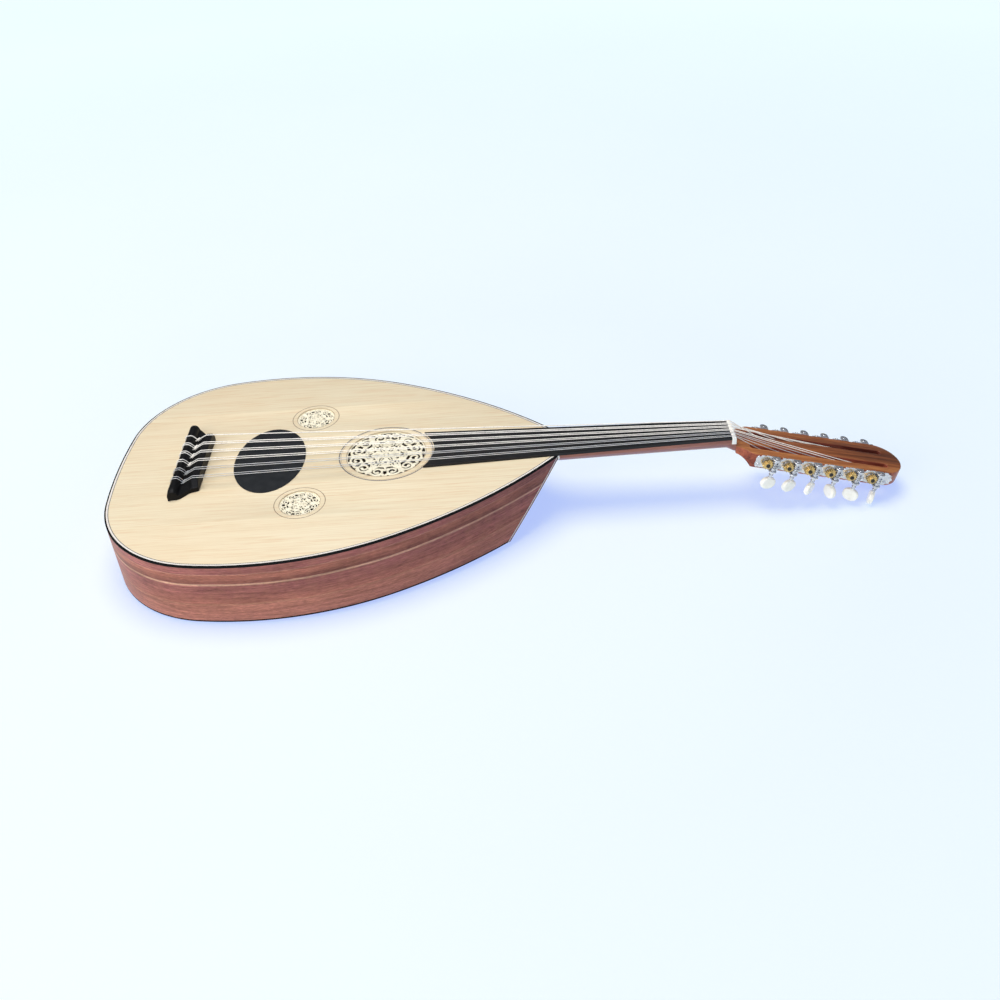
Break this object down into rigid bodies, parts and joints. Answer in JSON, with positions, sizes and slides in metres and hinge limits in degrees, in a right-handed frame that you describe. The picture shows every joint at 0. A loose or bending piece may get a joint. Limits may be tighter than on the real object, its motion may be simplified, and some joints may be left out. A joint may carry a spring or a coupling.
{
  "type": "oud",
  "caption": "Flat-backed oud with pierced rosettes, tied bridge, unfretted fingerboard and a slotted headstock whose worm-geared keys turn the string rollers.",
  "frame": {"origin": "outside of the flat back, on the centreline, straight below the line where the strings bend onto the bridge saddle", "axes": "+X along the centreline towards the headstock, +Y to the bass side, +Z out through the soundboard"},
  "size_m": [0.8766, 0.3624, 0.1004],
  "materials": {
    "spruce": "clear satin varnish over straight-grained spruce",
    "walnut": "gloss varnish over reddish walnut",
    "mahogany": "gloss varnish over mahogany",
    "headstock_walnut": "gloss varnish, streaked",
    "mahogany_block": "bare",
    "lining_wood": "bare",
    "brace_spruce": "bare",
    "ebony": "oiled, low sheen",
    "white_line": "gloss",
    "line_inlay": "inlaid veneer lines under varnish",
    "bone": null,
    "pickguard_black": "semi-gloss",
    "rosette_ivory": "satin, ivory colour",
    "nickel": "polished nickel plate",
    "brass": "brushed brass",
    "button_pearl": "pearl-white moulded button",
    "string_nylon": null,
    "string_wound": "silver-plated winding"
  },
  "bodies": {
    "instrument": {"soundboard": "spruce", "back_plate": "walnut", "side_bass": "walnut", "side_treble": "walnut", "heel_panel": "walnut", "heel_trim": "white_line", "neck_block": "mahogany_block", "tail_block": "mahogany_block", "soundboard_linings": "lining_wood", "back_linings": "lining_wood", "soundboard_braces": "brace_spruce", "back_braces": "brace_spruce", "top_binding": "ebony", "edge_purfling": "line_inlay", "back_binding": "ebony", "neck": "mahogany", "fingerboard": "ebony", "nut": "bone", "headstock": "headstock_walnut", "bridge": "ebony", "pickguard": "pickguard_black", "rosette_main": "rosette_ivory", "rosette_bass": "rosette_ivory", "rosette_treble": "rosette_ivory", "rosette_rings": "line_inlay", "tuner_plate_bass": "nickel", "tuner_plate_treble": "nickel", "plate_screws": "nickel", "strings_course_1": "string_wound", "strings_course_2": "string_wound", "strings_course_3": "string_nylon", "strings_course_4": "string_nylon", "strings_course_5": "string_nylon", "strings_course_6": "string_nylon"},
    "key_bass_1": {"key_bass_1": "button_pearl"},
    "roller_bass_1": {"roller_bass_1": "brass"},
    "key_bass_2": {"key_bass_2": "button_pearl"},
    "roller_bass_2": {"roller_bass_2": "brass"},
    "key_bass_3": {"key_bass_3": "button_pearl"},
    "roller_bass_3": {"roller_bass_3": "brass"},
    "key_bass_4": {"key_bass_4": "button_pearl"},
    "roller_bass_4": {"roller_bass_4": "brass"},
    "key_bass_5": {"key_bass_5": "button_pearl"},
    "roller_bass_5": {"roller_bass_5": "brass"},
    "key_bass_6": {"key_bass_6": "button_pearl"},
    "roller_bass_6": {"roller_bass_6": "brass"},
    "key_treble_1": {"key_treble_1": "button_pearl"},
    "roller_treble_1": {"roller_treble_1": "brass"},
    "key_treble_2": {"key_treble_2": "button_pearl"},
    "roller_treble_2": {"roller_treble_2": "brass"},
    "key_treble_3": {"key_treble_3": "button_pearl"},
    "roller_treble_3": {"roller_treble_3": "brass"},
    "key_treble_4": {"key_treble_4": "button_pearl"},
    "roller_treble_4": {"roller_treble_4": "brass"},
    "key_treble_5": {"key_treble_5": "button_pearl"},
    "roller_treble_5": {"roller_treble_5": "brass"},
    "key_treble_6": {"key_treble_6": "button_pearl"},
    "roller_treble_6": {"roller_treble_6": "brass"}
  },
  "joints": [
    {"name": "key_bass_1_turn", "type": "hinge", "parent": "instrument", "child": "key_bass_1", "pos_m": [0.6303, 0.0329, 0.04698], "axis": [0.2402, 0, 0.9707], "continuous": true},
    {"name": "roller_bass_1_turn", "type": "hinge", "parent": "instrument", "child": "roller_bass_1", "pos_m": [0.62254, 0.02, 0.04891], "axis": [0, 1, 0], "continuous": true},
    {"name": "key_bass_2_turn", "type": "hinge", "parent": "instrument", "child": "key_bass_2", "pos_m": [0.65389, 0.0329, 0.04115], "axis": [0.2402, 0, 0.9707], "continuous": true},
    {"name": "roller_bass_2_turn", "type": "hinge", "parent": "instrument", "child": "roller_bass_2", "pos_m": [0.64613, 0.02, 0.04307], "axis": [0, 1, 0], "continuous": true},
    {"name": "key_bass_3_turn", "type": "hinge", "parent": "instrument", "child": "key_bass_3", "pos_m": [0.67748, 0.0329, 0.03531], "axis": [0.2402, 0, 0.9707], "continuous": true},
    {"name": "roller_bass_3_turn", "type": "hinge", "parent": "instrument", "child": "roller_bass_3", "pos_m": [0.66971, 0.02, 0.03723], "axis": [0, 1, 0], "continuous": true},
    {"name": "key_bass_4_turn", "type": "hinge", "parent": "instrument", "child": "key_bass_4", "pos_m": [0.70107, 0.0329, 0.02947], "axis": [0.2402, 0, 0.9707], "continuous": true},
    {"name": "roller_bass_4_turn", "type": "hinge", "parent": "instrument", "child": "roller_bass_4", "pos_m": [0.6933, 0.02, 0.03139], "axis": [0, 1, 0], "continuous": true},
    {"name": "key_bass_5_turn", "type": "hinge", "parent": "instrument", "child": "key_bass_5", "pos_m": [0.72466, 0.0329, 0.02363], "axis": [0.2402, 0, 0.9707], "continuous": true},
    {"name": "roller_bass_5_turn", "type": "hinge", "parent": "instrument", "child": "roller_bass_5", "pos_m": [0.71689, 0.02, 0.02556], "axis": [0, 1, 0], "continuous": true},
    {"name": "key_bass_6_turn", "type": "hinge", "parent": "instrument", "child": "key_bass_6", "pos_m": [0.74825, 0.0329, 0.0178], "axis": [0.2402, 0, 0.9707], "continuous": true},
    {"name": "roller_bass_6_turn", "type": "hinge", "parent": "instrument", "child": "roller_bass_6", "pos_m": [0.74048, 0.02, 0.01972], "axis": [0, 1, 0], "continuous": true},
    {"name": "key_treble_1_turn", "type": "hinge", "parent": "instrument", "child": "key_treble_1", "pos_m": [0.6303, -0.0329, 0.04698], "axis": [0.2402, 0, 0.9707], "continuous": true},
    {"name": "roller_treble_1_turn", "type": "hinge", "parent": "instrument", "child": "roller_treble_1", "pos_m": [0.62254, -0.02, 0.04891], "axis": [0, 1, 0], "continuous": true},
    {"name": "key_treble_2_turn", "type": "hinge", "parent": "instrument", "child": "key_treble_2", "pos_m": [0.65389, -0.0329, 0.04115], "axis": [0.2402, 0, 0.9707], "continuous": true},
    {"name": "roller_treble_2_turn", "type": "hinge", "parent": "instrument", "child": "roller_treble_2", "pos_m": [0.64613, -0.02, 0.04307], "axis": [0, 1, 0], "continuous": true},
    {"name": "key_treble_3_turn", "type": "hinge", "parent": "instrument", "child": "key_treble_3", "pos_m": [0.67748, -0.0329, 0.03531], "axis": [0.2402, 0, 0.9707], "continuous": true},
    {"name": "roller_treble_3_turn", "type": "hinge", "parent": "instrument", "child": "roller_treble_3", "pos_m": [0.66971, -0.02, 0.03723], "axis": [0, 1, 0], "continuous": true},
    {"name": "key_treble_4_turn", "type": "hinge", "parent": "instrument", "child": "key_treble_4", "pos_m": [0.70107, -0.0329, 0.02947], "axis": [0.2402, 0, 0.9707], "continuous": true},
    {"name": "roller_treble_4_turn", "type": "hinge", "parent": "instrument", "child": "roller_treble_4", "pos_m": [0.6933, -0.02, 0.03139], "axis": [0, 1, 0], "continuous": true},
    {"name": "key_treble_5_turn", "type": "hinge", "parent": "instrument", "child": "key_treble_5", "pos_m": [0.72466, -0.0329, 0.02363], "axis": [0.2402, 0, 0.9707], "continuous": true},
    {"name": "roller_treble_5_turn", "type": "hinge", "parent": "instrument", "child": "roller_treble_5", "pos_m": [0.71689, -0.02, 0.02556], "axis": [0, 1, 0], "continuous": true},
    {"name": "key_treble_6_turn", "type": "hinge", "parent": "instrument", "child": "key_treble_6", "pos_m": [0.74825, -0.0329, 0.0178], "axis": [0.2402, 0, 0.9707], "continuous": true},
    {"name": "roller_treble_6_turn", "type": "hinge", "parent": "instrument", "child": "roller_treble_6", "pos_m": [0.74048, -0.02, 0.01972], "axis": [0, 1, 0], "continuous": true}
  ],
  "couplings": [
    {"joint": "roller_bass_1_turn", "follows": "key_bass_1_turn", "ratio": 0.071429},
    {"joint": "roller_bass_2_turn", "follows": "key_bass_2_turn", "ratio": 0.071429},
    {"joint": "roller_bass_3_turn", "follows": "key_bass_3_turn", "ratio": 0.071429},
    {"joint": "roller_bass_4_turn", "follows": "key_bass_4_turn", "ratio": 0.071429},
    {"joint": "roller_bass_5_turn", "follows": "key_bass_5_turn", "ratio": 0.071429},
    {"joint": "roller_bass_6_turn", "follows": "key_bass_6_turn", "ratio": 0.071429},
    {"joint": "roller_treble_1_turn", "follows": "key_treble_1_turn", "ratio": 0.071429},
    {"joint": "roller_treble_2_turn", "follows": "key_treble_2_turn", "ratio": 0.071429},
    {"joint": "roller_treble_3_turn", "follows": "key_treble_3_turn", "ratio": 0.071429},
    {"joint": "roller_treble_4_turn", "follows": "key_treble_4_turn", "ratio": 0.071429},
    {"joint": "roller_treble_5_turn", "follows": "key_treble_5_turn", "ratio": 0.071429},
    {"joint": "roller_treble_6_turn", "follows": "key_treble_6_turn", "ratio": 0.071429}
  ]
}
